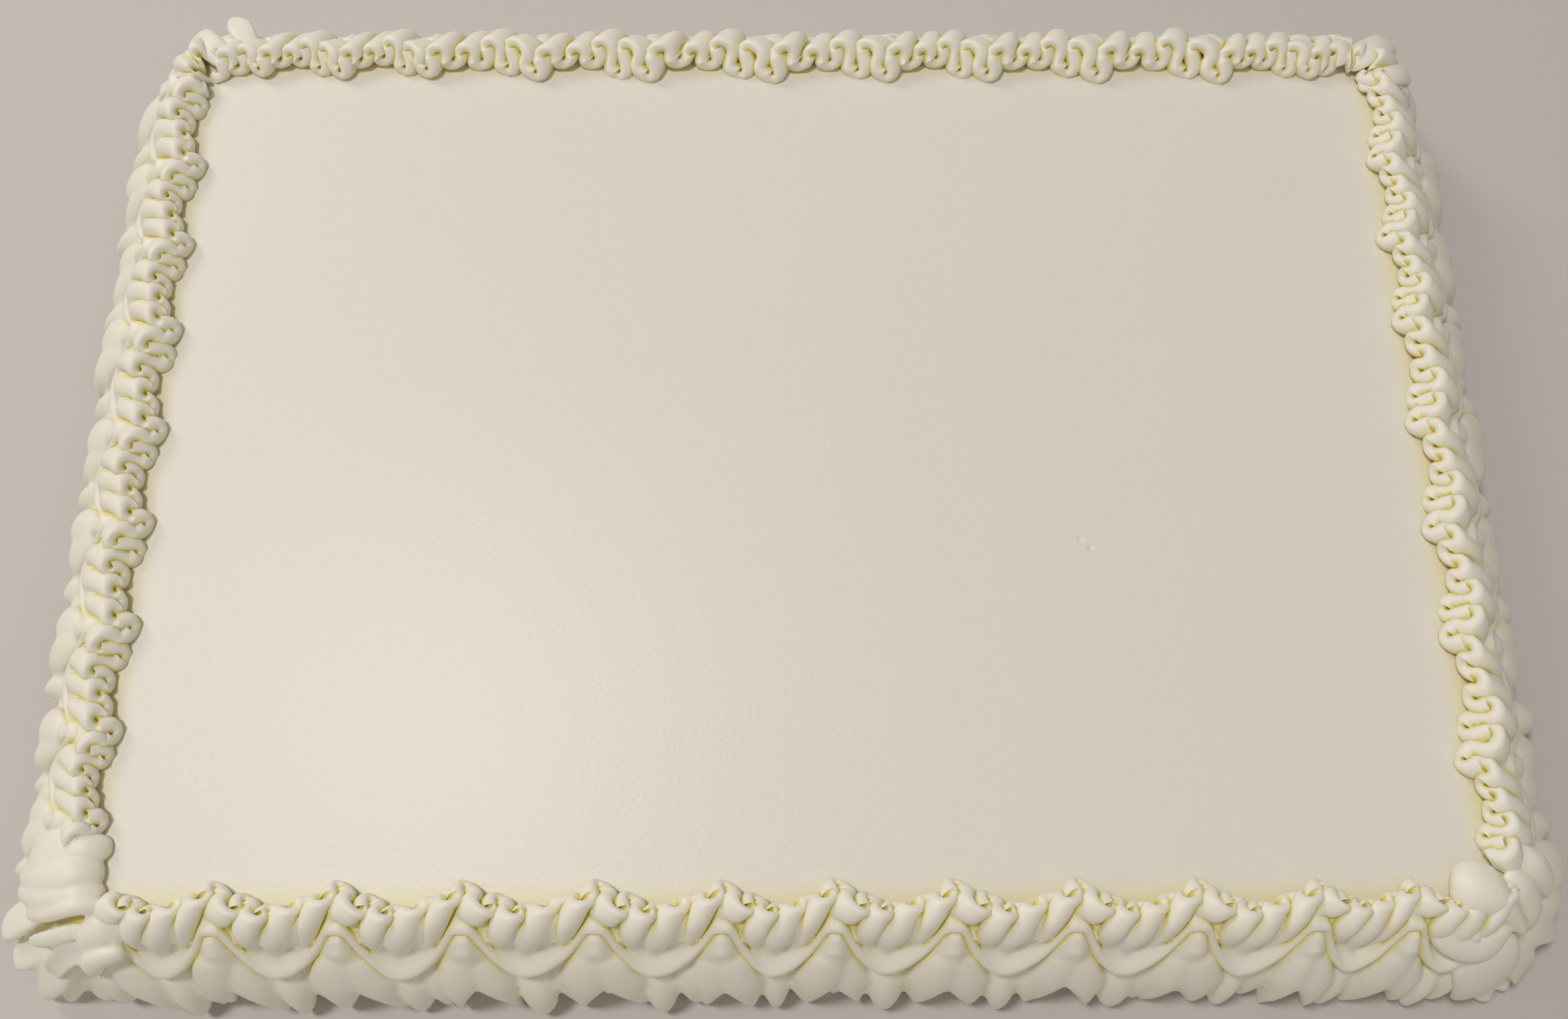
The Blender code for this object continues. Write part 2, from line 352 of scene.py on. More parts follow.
def smooth_icing():
    """Whipped icing spread flat: satin, with a very fine grain."""
    icing = Recipe("smooth_icing")
    place = icing.node("ShaderNodeTexCoord", {}, output=3)
    grain = icing.node("ShaderNodeTexNoise", {}, Vector=place, Scale=750.0, Detail=3.0)
    cloud = icing.node("ShaderNodeTexNoise", {}, Vector=place, Scale=9.0, Detail=2.0)
    tone = icing.mix(cloud, *(colour(*shade) for shade in FIELD_TONES))
    # Painted shade: yellower where the borders lie on it and shade it
    along = icing.node("ShaderNodeSeparateXYZ", {}, place).math("ABSOLUTE")
    across = icing.node("ShaderNodeSeparateXYZ", {}, place, output=1).math("ABSOLUTE")
    past_end = along - FIELD_HALF_LENGTH * MM
    past_side = across - FIELD_HALF_WIDTH * MM
    rim = icing.node(
        "ShaderNodeMapRange",
        {"interpolation_type": "SMOOTHSTEP"},
        past_end.math("MAXIMUM", past_side),
        -YELLOW_INSIDE * MM,
        YELLOW_OUTSIDE * MM,
    )
    tone = icing.mix(rim, tone, colour(*FIELD_EDGE_SHADE))
    bump = icing.node("ShaderNodeBump", {}, Height=grain, Strength=0.22, Distance=0.0003)
    for spot in DIMPLES:
        centre = Vector(spot) * MM + SLAB_SHIFT
        gap = icing.node("ShaderNodeVectorMath", {"operation": "SUBTRACT"}, place, tuple(centre))
        far = icing.node("ShaderNodeVectorMath", {"operation": "LENGTH"}, gap, output=1)
        edge = icing.node(
            "ShaderNodeMapRange",
            {"interpolation_type": "SMOOTHSTEP"},
            far,
            0.0,
            DIMPLE_RADIUS * MM,
        )
        bump = icing.node(
            "ShaderNodeBump", {}, Height=edge, Strength=0.5, Distance=0.0006, Normal=bump
        )
    icing.set(
        Base_Color=tone,
        Roughness=0.42,
        Normal=bump,
        Subsurface_Weight=0.15,
        Subsurface_Scale=SCATTER_DEPTH,
        Subsurface_Radius=(1.0, 0.8, 0.45),
    )
    return icing.material


# The icing's colour by how closed in it is: its own ivory where open, and painted shade, yellower
# and darker, deep in its folds
OCCLUSION_SHADE_TONES = (
    (0.12, colour(0.93, 0.89, 0.78)),
    (0.30, colour(0.89, 0.85, 0.58)),
    (0.50, colour(0.85, 0.79, 0.32)),
    (0.72, colour(0.80, 0.66, 0.14)),
)


def piped_icing():
    """Piped whipped icing: ivory, with painted shade, yellower and darker, in its creases."""
    icing = Recipe("piped_icing")
    # Painted shade: the closed-in share of each point makes its colour yellower and darker
    shut = icing.node("ShaderNodeAttribute", {"attribute_name": "crease"}, output=2)
    crease = icing.node("ShaderNodeValToRGB", {"stops": OCCLUSION_SHADE_TONES}, shut)
    place = icing.node("ShaderNodeTexCoord", {}, output=3)
    grain = icing.node("ShaderNodeTexNoise", {}, Vector=place, Scale=700.0, Detail=2.0)
    bump = icing.node("ShaderNodeBump", {}, Height=grain, Strength=0.06, Distance=0.0003)
    icing.set(
        Base_Color=crease,
        Roughness=0.48,
        Normal=bump,
        Subsurface_Weight=0.2,
        Subsurface_Scale=SCATTER_DEPTH,
        Subsurface_Radius=(1.0, 0.8, 0.4),
    )
    return icing.material


def mix(low, high, share):
    return low + (high - low) * share


def swag_drop(phase):
    """How far a swag hangs: 0 along the short step at its cusps and 1 at its low point."""
    open_phase = (phase - STEP) / (1 - 2 * STEP)
    open_phase = min(max(open_phase, 0.0), 1.0)
    if open_phase < LOW_POINT:
        half = 0.5 * open_phase / LOW_POINT
    else:
        half = 0.5 + 0.5 * (open_phase - LOW_POINT) / (1 - LOW_POINT)
    return math.sin(math.pi * half) ** 0.85


def swag_at(stretch, run):
    """The phase and the drop at this distance along a stretch."""
    for first, last, depth in stretch.swags:
        if run <= last or last == stretch.swags[-1][1]:
            phase = (run - first) / (last - first)
            return phase, depth * swag_drop(phase)


def catmull(points, share):
    """A smooth curve through the points, at this share of the way along it."""
    spans = len(points) - 1
    spot = min(max(share, 0.0), 1.0) * spans
    index = min(int(spot), spans - 1)
    t = spot - index
    before = points[max(index - 1, 0)]
    first, second = points[index], points[index + 1]
    after = points[min(index + 2, spans)]
    return tuple(
        0.5
        * (
            2 * b
            + (c - a) * t
            + (2 * a - 5 * b + 4 * c - d) * t * t
            + (3 * b - a - 3 * c + d) * t**3
        )
        for a, b, c, d in zip(before, first, second, after)
    )


TURN_ROWS = 16
# The ribbon's columns, as shares of the way from its rim to its lip
ACROSS = (0, 0.05, 0.12, 0.2, 0.28, 0.36, 0.44, 0.52, 0.6, 0.68, 0.76, 0.84, 0.92, 1)
# The directions in which its rounded edges are made, in radians from straight out
CAP_TURNS = (-0.9, -0.45, 0.0, 0.45, 0.9)
# How often the folds' turns are evened out along the ribbon
ROUNDINGS = 14


def half_turns():
    """Shares of the way along and across half a fold, for folds of growing tightness.

    The direction of the line swings as a sine of its length, so it can bend back on
    itself, as a ribbon does. Each row is one greatest angle.
    """
    angles = np.linspace(0.02, 2.05, 60)
    ticks = np.linspace(0.0, math.pi, 12 * TURN_ROWS + 1)
    turn = angles[:, None] * np.sin(ticks)[None, :]
    ahead, aside = np.cos(turn), np.sin(turn)
    ahead = np.cumsum((ahead[:, 1:] + ahead[:, :-1]) / 2, axis=1)
    aside = np.cumsum((aside[:, 1:] + aside[:, :-1]) / 2, axis=1)
    slope = aside[:, -1] / ahead[:, -1]
    pick = slice(11, None, 12)
    ahead = ahead[:, pick] / ahead[:, -1:]
    aside = aside[:, pick] / aside[:, -1:]
    return slope, ahead, aside


TURN_SLOPES, TURN_AHEAD, TURN_ASIDE = half_turns()


def half_turn(slope):
    """The shares along and across half a fold of this slope, at its TURN_ROWS rows."""
    slope = min(max(slope, TURN_SLOPES[0]), TURN_SLOPES[-1])
    spot = float(np.interp(slope, TURN_SLOPES, np.arange(len(TURN_SLOPES))))
    low = min(int(spot), len(TURN_SLOPES) - 2)
    share = spot - low
    ahead = mix(TURN_AHEAD[low], TURN_AHEAD[low + 1], share)
    aside = mix(TURN_ASIDE[low], TURN_ASIDE[low + 1], share)
    return ahead, aside


def rim_turns(stretch, draw):
    """The rim's turning points along a stretch, as (run, swing)."""
    turns = []
    for first, last, _ in stretch.swags:
        short = last - first < SHORT_SWAG
        room = SHORT_ROOM if short else min(max((last - first) / USUAL_SWAG, 0.6), 1.1)
        for phase, swing in SHORT_TURNS if short else stretch.look.turns:
            run = mix(first, last, phase + draw.uniform(-0.012, 0.012))
            turns.append((run, swing * draw.uniform(0.85, 1.12) * room))
    step = turns[1][0] - turns[0][0]
    turns = [(turns[0][0] - step, turns[1][1])] + turns
    step = turns[-1][0] - turns[-2][0]
    return turns + [(turns[-1][0] + step, turns[-2][1])]


def across_shares(line, share):
    """The mean line's points at these shares of the way from its rim to its lip."""
    return np.array([catmull(line, place) for place in share])


def hollow_depth(stretch, phases, across):
    """How deep the pressed hollows are at these phases of a swag."""
    depth = np.zeros(len(phases))
    for phase, down, phase_size, down_size, deep in stretch.look.hollows:
        far = ((phases - phase) / phase_size) ** 2 + ((across - down) / down_size) ** 2
        depth += deep * np.exp(-far)
    return depth


def ribbon(stretch):
    """The folded ribbon of a stretch, as a closed tube of quads in a new bmesh."""
    look = stretch.look
    turns = rim_turns(stretch, random.Random(stretch.seed + 50))
    across = np.array(ACROSS)
    at_cusp = across_shares(look.sheet[0], across)
    at_low = across_shares(look.sheet[1], across)
    left_cusp = across_shares([(value,) for value in look.folds[0]], across)[:, 0]
    left_low = across_shares([(value,) for value in look.folds[1]], across)[:, 0]
    middles = []
    for (here, swing), (there, next_swing) in zip(turns[:-1], turns[1:]):
        gap = there - here
        _, drop = swag_at(stretch, (here + there) / 2)
        _, here_drop = swag_at(stretch, here)
        _, there_drop = swag_at(stretch, there)
        block = np.empty((TURN_ROWS, len(across), 3))
        for column in range(len(across)):
            here_left = mix(left_cusp[column], left_low[column], here_drop)
            there_left = mix(left_cusp[column], left_low[column], there_drop)
            rise = abs(next_swing * there_left - swing * here_left) * look.swing
            ahead, aside = half_turn(rise / gap)
            run = here + gap * ahead
            behind = LEAN * (1 - (1 - across[column]) ** 2)
            off = mix(swing * here_left, next_swing * there_left, aside) * look.swing / 2
            states = np.array([swag_at(stretch, value - behind) for value in run])
            dent = hollow_depth(stretch, states[:, 0], across[column]) * states[:, 1]
            drops = states[:, 1:]
            spots = mix(at_cusp[column][None, :], at_low[column][None, :], drops)
            block[:, column, 0] = run - behind
            block[:, column, 1] = spots[:, 0] + off * FOLD_WAY[0] * look.width_share + dent
            block[:, column, 2] = spots[:, 1] + off * FOLD_WAY[1] - dent * HOLLOW_SINK
        middles.append(block)
    middles = np.concatenate(middles)
    for _ in range(ROUNDINGS):
        middles[1:-1] = (middles[:-2] + 2 * middles[1:-1] + middles[2:]) / 4
    rim_run = middles[:, 0, 0]
    middles = middles[(rim_run > LEAN - RUN_ON) & (rim_run < stretch.end + RUN_ON)]
    along = np.gradient(middles, axis=0)
    down = np.gradient(middles, axis=1)
    aside = np.cross(along, down)
    aside /= np.maximum(np.linalg.norm(aside, axis=2, keepdims=True), 1e-6)
    down /= np.maximum(np.linalg.norm(down, axis=2, keepdims=True), 1e-6)
    half = mix(look.rim_thickness, SHEET_THICKNESS, across**0.8) / 2
    half += look.lip_swell / 2 * np.exp(-(((1 - across) / 0.11) ** 2))
    half = half[None, :, None]
    outer = middles + aside * half
    inner = (middles - aside * half)[:, ::-1]
    rim_cap, lip_cap = [], []
    for turn in CAP_TURNS:
        reach, swing = math.cos(turn) ** 0.5, math.sin(turn)
        rim_cap.append(middles[:, 0] + half[:, 0] * (aside[:, 0] * swing - down[:, 0] * reach))
        lip_cap.append(middles[:, -1] - half[:, -1] * (aside[:, -1] * swing - down[:, -1] * reach))
    loops = np.concatenate(
        [np.stack(rim_cap, axis=1), outer, np.stack(lip_cap, axis=1), inner], axis=1
    )
    count, columns = loops.shape[:2]
    bm = bmesh.new()
    bmesh.ops.create_grid(bm, x_segments=columns, y_segments=count - 1, size=1.0)
    bm.verts.ensure_lookup_table()
    for row in range(count):
        for column in range(columns + 1):
            run, inward, up = loops[row, column % columns]
            bm.verts[row * (columns + 1) + column].co = stretch.place(
                run, inward, CAKE_HEIGHT + up
            )
    return closed_tube(bm, columns)


def closed_tube(bm, columns):
    """Joins a rolled-up grid's first and last columns and closes its two ends."""
    bmesh.ops.remove_doubles(bm, verts=bm.verts, dist=1e-7)
    bmesh.ops.holes_fill(bm, edges=bm.edges, sides=columns)
    bmesh.ops.recalc_face_normals(bm, faces=bm.faces)
    return bm


def swept(stretch, section_at):
    """A closed body along a stretch, with the section that section_at gives for a drop."""
    count = max(int(stretch.length / SWEEP_STEP), 12)
    rows = []
    for index in range(count + 1):
        run = mix(-RUN_ON, stretch.length + RUN_ON, index / count)
        inside = min(max(run, 0.0), stretch.length)
        rows.append((run, section_at(swag_at(stretch, inside)[1])))
    columns = len(rows[0][1])
    bm = bmesh.new()
    bmesh.ops.create_grid(bm, x_segments=columns, y_segments=count, size=1.0)
    bm.verts.ensure_lookup_table()
    for row, (run, loop) in enumerate(rows):
        for column in range(columns + 1):
            inward, height = loop[column % columns]
            bm.verts[row * (columns + 1) + column].co = stretch.place(
                run, inward, height
            )
    return closed_tube(bm, columns)


def under_ribbon(drop):
    """The section of the icing between the ribbon and the cake."""
    line = [mix(np.array(a), np.array(b), drop) for a, b in zip(SHEET_AT_CUSP, SHEET_AT_LOW)]
    top = CAKE_HEIGHT
    return [
        (line[0][0] - 1.0, top - 0.5),
        (line[0][0] - 1.0, top + 0.6),
        (line[1][0] - 1.0, top + line[1][1] - 2.6),
        (line[3][0] + mix(1.4, 3.2, drop), top + line[3][1] - 1.6),
        (line[4][0] + mix(1.4, 4.0, drop), top + line[4][1] - 0.8),
        (line[5][0] + mix(1.4, 3.4, drop), top + line[5][1]),
        (line[5][0] + 2.2, top + line[5][1] - 1.6),
        (0.5, top + line[5][1] - 2.4),
        (0.5, top - 8.0),
        (5.0, top - 2.0),
    ]


def under_strands(drop):
    """The section of the thin bed under a corner's strands."""
    top = CAKE_HEIGHT
    return [
        (14.0, top - 0.5),
        (13.0, top + 0.8),
        (7.0, top + 0.4),
        (0.6, top - 4.0),
        (-1.6, top - 12.0),
        (0.5, top - 13.0),
        (0.5, top - 8.0),
        (5.0, top - 2.0),
    ]


# The skirt that the petals grow from, in (inward, height), under a cusp and a low point
SKIRT_AT_CUSP = (
    (0.5, 0.3),
    (0.5, 36.0),
    (5.0, 43.5),
    (6.6, 45.9),
    (2.5, 45.7),
    (-1.5, 42.8),
    (-4.8, 36.0),
    (-6.8, 24.0),
    (-6.8, 12.0),
    (-5.0, 5.5),
    (-4.2, 0.3),
)
SKIRT_AT_LOW = (
    (0.5, 0.3),
    (0.5, 27.0),
    (0.5, 29.5),
    (-1.0, 30.0),
    (-3.0, 29.6),
    (-3.6, 27.5),
    (-4.2, 24.0),
    (-4.8, 18.0),
    (-5.0, 12.0),
    (-4.6, 5.5),
    (-4.2, 0.3),
)


def under_petals(drop):
    """The section of the skirt that the petals grow from, fuller under a cusp."""
    return [
        (mix(a[0], b[0], drop), mix(a[1], b[1], drop))
        for a, b in zip(SKIRT_AT_CUSP, SKIRT_AT_LOW)
    ]


# The petals of one swag: phase and offset of the root, its height, offset of the tip,
# reach, width, and how sharp the tip is. The offsets are those of a swag this long.
PETAL_SWAG = 34.0
# How far past a stretch's ends a petal's tip may lie
TIP_RUN_ON = 3.0
PETALS = (
    (0.0, -1.5, 38.5, -7.2, 14.0, 15.5, 0.95),
    (0.0, 1.5, 34.0, 1.2, 10.6, 7.0, 0.2),
    (0.0, 1.5, 37.0, 9.6, 14.6, 15.5, 0.95),
    (0.5, -1.6, 29.0, -1.0, 15.8, 10.0, 0.1),
    (0.5, 6.0, 30.0, 7.4, 13.4, 11.0, 0.6),
)


def petal_lobe(stretch, root, tip, root_height, reach, width, sharp, thick):
    """One petal: a flattened drop that runs from its root down and outward to its tip."""
    bm = bmesh.new()
    bmesh.ops.create_uvsphere(bm, u_segments=24, v_segments=20, radius=1.0)
    rise = 1.4 + max(reach - 15.0, 0.0)
    spine = [
        (-1.0, root_height),
        (mix(-1.0, -reach, 0.46), mix(root_height, rise, 0.30)),
        (mix(-1.0, -reach, 0.76), mix(root_height, rise, 0.62)),
        (-reach, rise),
    ]
    for vertex in bm.verts:
        x, y, z = vertex.co
        share = 0.5 - 0.5 * z
        ring = math.sqrt(max(0.0, 1 - z * z))
        side, out = (x / ring, -y / ring) if ring > 1e-5 else (0.0, 0.0)
        spot = catmull(spine, share)
        ahead = catmull(spine, min(share + 0.03, 1.0))
        behind = catmull(spine, max(share - 0.03, 0.0))
        run_in, run_up = ahead[0] - behind[0], ahead[1] - behind[1]
        size = math.hypot(run_in, run_up)
        normal = (run_up / size, -run_in / size)
        fat = ring**0.8
        if share > 0.4:
            fat = mix(fat, 0.92 * ((1 - share) / 0.6) ** 1.15 + 0.02, sharp)
        half_width = width / 2 * fat
        half_thick = thick / 2 * ring**0.7 * mix(1.0, 0.75, share)
        bow = side * side * 1.6 * share
        vertex.co = stretch.place(
            mix(root, tip, share) + side * half_width,
            spot[0] + normal[0] * out * half_thick + bow,
            max(spot[1] + normal[1] * out * half_thick, FOOT_GAP),
        )
    bmesh.ops.recalc_face_normals(bm, faces=bm.faces)
    return bm


# The corners' own forms. Each strand is the points that it runs through in x, y and
# height from the slab's middle, its greatest width and thickness, the ways its flat
# face looks at its two ends, how far its edges curl, and how sharp its tip is.
FOLDED = {
    "front_left": (
        (((-191.5, -121.5, 45), (-199, -122, 48), (-209, -121.5, 44), (-218, -120.5, 35)),
         9.5, 7, (0.2, 0.1, 1.0), (-0.8, 0.0, 0.6), 0.0, 0.0),
        (((-192.5, -128, 45.5), (-200, -129, 48.5), (-209, -129.5, 45), (-221, -128.5, 34)),
         11, 8, (0.1, 0.0, 1.0), (-0.8, 0.0, 0.6), 0.0, 0.0),
        (((-191.5, -134, 45.5), (-199, -134.5, 48), (-209, -134.5, 44.5), (-221, -133, 34)),
         9, 7.5, (0.1, -0.1, 1.0), (-0.8, 0.0, 0.6), 0.0, 0.0),
        (((-195, -128, 45), (-201, -128.5, 47.6), (-210, -128.5, 44), (-219, -127.5, 34)),
         25, 7.6, (0.1, 0.0, 1.0), (-0.8, 0.0, 0.6), 0.0, 0.0),
        (((-190.5, -137.5, 48), (-198, -137.8, 50), (-207, -139.4, 46), (-216, -139.6, 39)),
         5.4, 4.0, (0.1, -0.3, 1.0), (-0.6, -0.3, 0.7), 0.0, 0.0),
        (((-192.5, -143.2, 46.5), (-200.5, -144.5, 45.5), (-208, -146.1, 41), (-217, -147.1, 33.5)),
         5.2, 2.8, (-0.3, -0.5, 1.0), (-0.6, -0.6, 0.6), 0.3, 0.0),
        (((-195, -148.4, 42.5), (-202, -149.8, 38.5), (-208.5, -152.6, 32), (-213, -155.9, 25)),
         7.4, 3.5, (-0.4, -0.6, 0.8), (-0.5, -0.9, 0.3), 1.8, 0.0),
        (((-191.5, -139, 47.5), (-193, -145.5, 45.5), (-195.5, -151, 38.5), (-200, -156, 29)),
         9.0, 5.0, (0.0, -0.2, 1.0), (-0.1, -1.0, 0.3), 0.4, 0.3),
        (((-187.5, -135.5, 48), (-188, -141, 47), (-189.5, -146, 42.5), (-191, -149.5, 36)),
         8.5, 5.5, (0.0, -0.2, 1.0), (-0.1, -0.8, 0.6), 0.0, 0.0),
        (((-197.5, -155, 33), (-195.5, -153, 39), (-191.5, -151, 43), (-185, -150, 43)),
         7.0, 5.4, (-0.3, -0.8, 0.6), (0.0, -0.8, 0.6), 0.0, 0.0),
    ),
    "front_right": (
        (((184, -133, 48.5), (190.5, -134.5, 50), (198, -138.5, 47.5), (207.5, -146.5, 38.5)),
         15.5, 8.5, (0.1, -0.1, 1.0), (0.5, -0.5, 0.8), -1.4, 0.9),
        (((196, -136, 47), (200.5, -143, 43.5), (199, -150, 36.5), (193, -155, 32)),
         4.6, 4.6, (0.3, -0.6, 1.0), (0.2, -1.0, 0.4), 0.0, 0.0),
        (((180, -145, 44.5), (187, -149, 41.5), (194, -150, 40.5), (201, -146, 41)),
         10, 6, (0.0, -0.7, 0.8), (0.2, -0.8, 0.8), 0.0, 0.0),
        (((200, -130, 49), (206, -134, 46), (211.5, -139.5, 39), (213, -144, 31)),
         10.5, 4.8, (0.2, 0.0, 1.0), (0.8, -0.3, 0.5), -0.6, 0.1),
        (((204, -124, 49), (211, -128, 46), (217, -132, 38), (219, -135, 31)),
         8.5, 4.8, (0.2, 0.0, 1.0), (0.9, -0.1, 0.5), -0.6, 0.1),
    ),
}
# Folds laid over the ribbon at the two back corners
LAID_OVER = {
    "back_left": (
        (((-187, 134.5, 47), (-194, 140, 49), (-200, 146, 46), (-206, 151, 38)),
         9.5, 4.6, (0.2, -0.2, 1.0), (-0.7, 0.5, 0.6), 0.6, 0.0),
        (((-181, 140, 47.5), (-185, 147, 49), (-189.5, 153, 46), (-194, 158, 39)),
         8.0, 4.0, (0.3, -0.3, 1.0), (-0.3, 0.6, 0.8), 0.8, 0.9),
    ),
    "back_right": (
        (((191, 134.5, 47), (198, 139, 49.5), (205, 144, 46), (211, 149, 38)),
         9.5, 4.6, (-0.1, -0.1, 1.0), (0.7, 0.6, 0.5), 0.5, 0.0),
        (((194, 127, 46.5), (202, 129, 48.5), (210, 133, 45), (216, 137, 37)),
         8, 4.6, (-0.1, 0.0, 1.0), (0.9, 0.2, 0.5), 0.5, 0.0),
    ),
}
# The petals at the foot of the two front corners
FOOTED = {
    "front_left": (
        (((-210, -136, 36), (-219, -139, 30), (-227, -142, 24), (-232.5, -144, 19)),
         11, 5, (-0.5, 0.2, 1.0), (-0.6, 0.0, 0.8), 0.6, 0.1),
        (((-208, -142, 30), (-217, -146, 24), (-225, -150, 18), (-231, -153, 13)),
         12, 5, (-0.5, 0.0, 1.0), (-0.6, -0.2, 0.8), 0.5, 0.2),
        (((-206, -146, 32), (-213, -153, 24), (-220, -159, 13), (-226, -163.5, 3)),
         15, 5, (-0.6, -0.6, 0.6), (-0.6, -0.6, 0.5), 0.8, 0.8),
        (((-203, -148, 30), (-209, -156, 20), (-214, -160, 11), (-218.5, -164, 3)),
         9, 5, (-0.3, -0.9, 0.4), (-0.3, -0.9, 0.4), 0.4, 0.5),
        (((-198, -148, 32), (-202, -156, 20), (-205, -160, 11), (-207.5, -163.5, 3)),
         11, 5, (-0.2, -0.9, 0.4), (-0.2, -0.9, 0.4), 0.3, 0.3),
        (((-191, -148, 36), (-195, -156, 25), (-198, -160, 14), (-200, -163, 4)),
         9, 8, (0.0, -1.0, 0.4), (0.0, -1.0, 0.3), 0.0, 0.0),
    ),
    "front_right": (
        (((193, -144, 40), (199, -153, 33), (203, -160, 20), (205.5, -164, 3)),
         21, 6, (0.2, -0.9, 0.5), (0.4, -1.0, 0.3), 0.0, 0.3),
        (((204, -146, 30), (211, -151, 24), (217, -155, 16), (221, -158, 8)),
         12, 4.4, (0.6, -0.5, 0.7), (0.6, -0.6, 0.5), 1.8, 0.0),
        (((208, -138, 34), (217, -142, 27), (225, -145, 18), (233, -147.5, 8)),
         16, 5, (0.5, -0.4, 0.8), (0.7, -0.3, 0.7), 0.8, 0.8),
        (((203, -150, 20), (207, -158, 12), (210, -163, 6), (212.5, -166, 2.5)),
         10, 5, (0.4, -0.9, 0.3), (0.4, -0.9, 0.3), 0.0, 0.6),
        (((206, -148, 20), (212, -155, 11), (216, -160, 6), (218.5, -163, 2.5)),
         9, 5, (0.6, -0.8, 0.3), (0.6, -0.8, 0.3), 0.0, 0.6),
        (((210, -126, 38), (220, -127, 32), (227, -127, 25), (231, -127, 17)),
         14, 7, (0.6, 0.0, 0.8), (0.9, 0.0, 0.4), 0.0, 0.0),
        (((211, -132, 32), (221, -134, 26), (228, -135, 19), (232.5, -135.5, 11)),
         14, 7, (0.6, 0.0, 0.8), (0.9, 0.0, 0.4), 0.0, 0.0),
    ),
}


def strand(spine, width, thickness, first_face, last_face, curl, sharp):
    """One closed strand of icing: a flattened tube with round ends, in a new bmesh."""
    bm = bmesh.new()
    bmesh.ops.create_uvsphere(bm, u_segments=28, v_segments=32, radius=1.0)
    first_face, last_face = Vector(first_face), Vector(last_face)
    for vertex in bm.verts:
        x, y, z = vertex.co
        share = math.acos(min(max(z, -1.0), 1.0)) / math.pi
        ring = math.hypot(x, y)
        side, out = (x / ring, y / ring) if ring > 1e-5 else (0.0, 0.0)
        spot = Vector(catmull(spine, share))
        ahead = Vector(catmull(spine, min(share + 0.03, 1.0)))
        behind = Vector(catmull(spine, max(share - 0.03, 0.0)))
        along = (ahead - behind).normalized()
        across = along.cross(first_face.lerp(last_face, share)).normalized()
        face = across.cross(along)
        full = math.sqrt(max(0.0, 1 - abs(2 * share - 1) ** 3))
        lean = full
        if share > 0.45:
            lean = mix(full, (1 - share) / 0.55, sharp)
        lift = curl * side * side * lean
        spot += across * (side * width / 2 * lean) + face * (out * thickness / 2 * full + lift)
        vertex.co = spot * MM + SLAB_SHIFT
        vertex.co.z = max(vertex.co.z, FOOT_GAP * MM)
    bm.normal_update()
    bmesh.ops.recalc_face_normals(bm, faces=bm.faces)
    if bm.calc_volume(signed=True) < 0:
        bmesh.ops.reverse_faces(bm, faces=bm.faces)
    return bm


def petal_lobes(stretch):
    """The petals of a stretch, each a little different."""
    draw = random.Random(stretch.seed + 200)
    lobes = []
    for first, last, _ in stretch.swags:
        room = (last - first) / PETAL_SWAG
        for phase, root_off, height, tip_off, reach, width, sharp in PETALS:
            middle = mix(first, last, phase)
            if not -TIP_RUN_ON <= middle + tip_off * room <= stretch.length + TIP_RUN_ON:
                continue
            lobes.append(
                petal_lobe(
                    stretch,
                    middle + root_off * room,
                    middle + tip_off * room + draw.uniform(-1.4, 1.4),
                    height + draw.uniform(-1.5, 1.5),
                    reach * stretch.look.petal_reach + draw.uniform(-1.2, 1.2),
                    width * (0.35 + 0.65 * room) * draw.uniform(0.9, 1.15),
                    min(max(sharp + draw.uniform(-0.3, 0.3), 0.0), 1.0),
                    draw.uniform(7.6, 9.4),
                )
            )
    return lobes


# How far apart a swept body's sections are
SWEEP_STEP = 1.5
# The sizes of the small quads that fused icing is made of
CORNER_VOXEL = 0.7
PETAL_VOXEL = 0.95


def joined(name, parts):
    """Puts the closed bmeshes into one new object, as they are."""
    mesh = bpy.data.meshes.new(name)
    bm = bmesh.new()
    for part in parts:
        loose = bpy.data.meshes.new("loose")
        part.to_mesh(loose)
        part.free()
        bm.from_mesh(loose)
        bpy.data.meshes.remove(loose)
    bm.to_mesh(mesh)
    bm.free()
    mesh.shade_smooth()
    piece = bpy.data.objects.new(name, mesh)
    bpy.context.scene.collection.objects.link(piece)
    return piece


def fused(name, parts, voxel):
    """Fuses the closed bmeshes into one skin of small quads and softens it."""
    piece = joined(name, parts)
    whole = piece.data
    remesh = piece.modifiers.new("fuse", "REMESH")
    remesh.mode = "VOXEL"
    remesh.voxel_size = voxel * MM
    remesh.adaptivity = 0.0
    soften = piece.modifiers.new("soften", "SMOOTH")
    soften.factor = 0.5
    soften.iterations = 1
    graph = bpy.context.evaluated_depsgraph_get()
    done = bpy.data.meshes.new_from_object(piece.evaluated_get(graph))
    piece.modifiers.clear()
    piece.data = done
    bpy.data.meshes.remove(whole)
    done.name = name
    done.shade_smooth()
    return piece


def feelers():
    """Directions in a dome about +Z, for feeling how deep in a fold a point lies."""
    ways = []
    for count, rise in ((2, 1.15), (4, 0.62), (2, 0.2)):
        level, up = math.cos(rise), math.sin(rise)
        for index in range(count):
            turn = 2 * math.pi * (index + rise) / count
            ways.append((math.cos(turn) * level, math.sin(turn) * level, up))
    return np.array(ways)


FEELERS = feelers()
# How far a feeler reaches
FEEL_REACH = 7.0 * MM
# How far off the skin a feeler starts
FEEL_START = 0.25 * MM


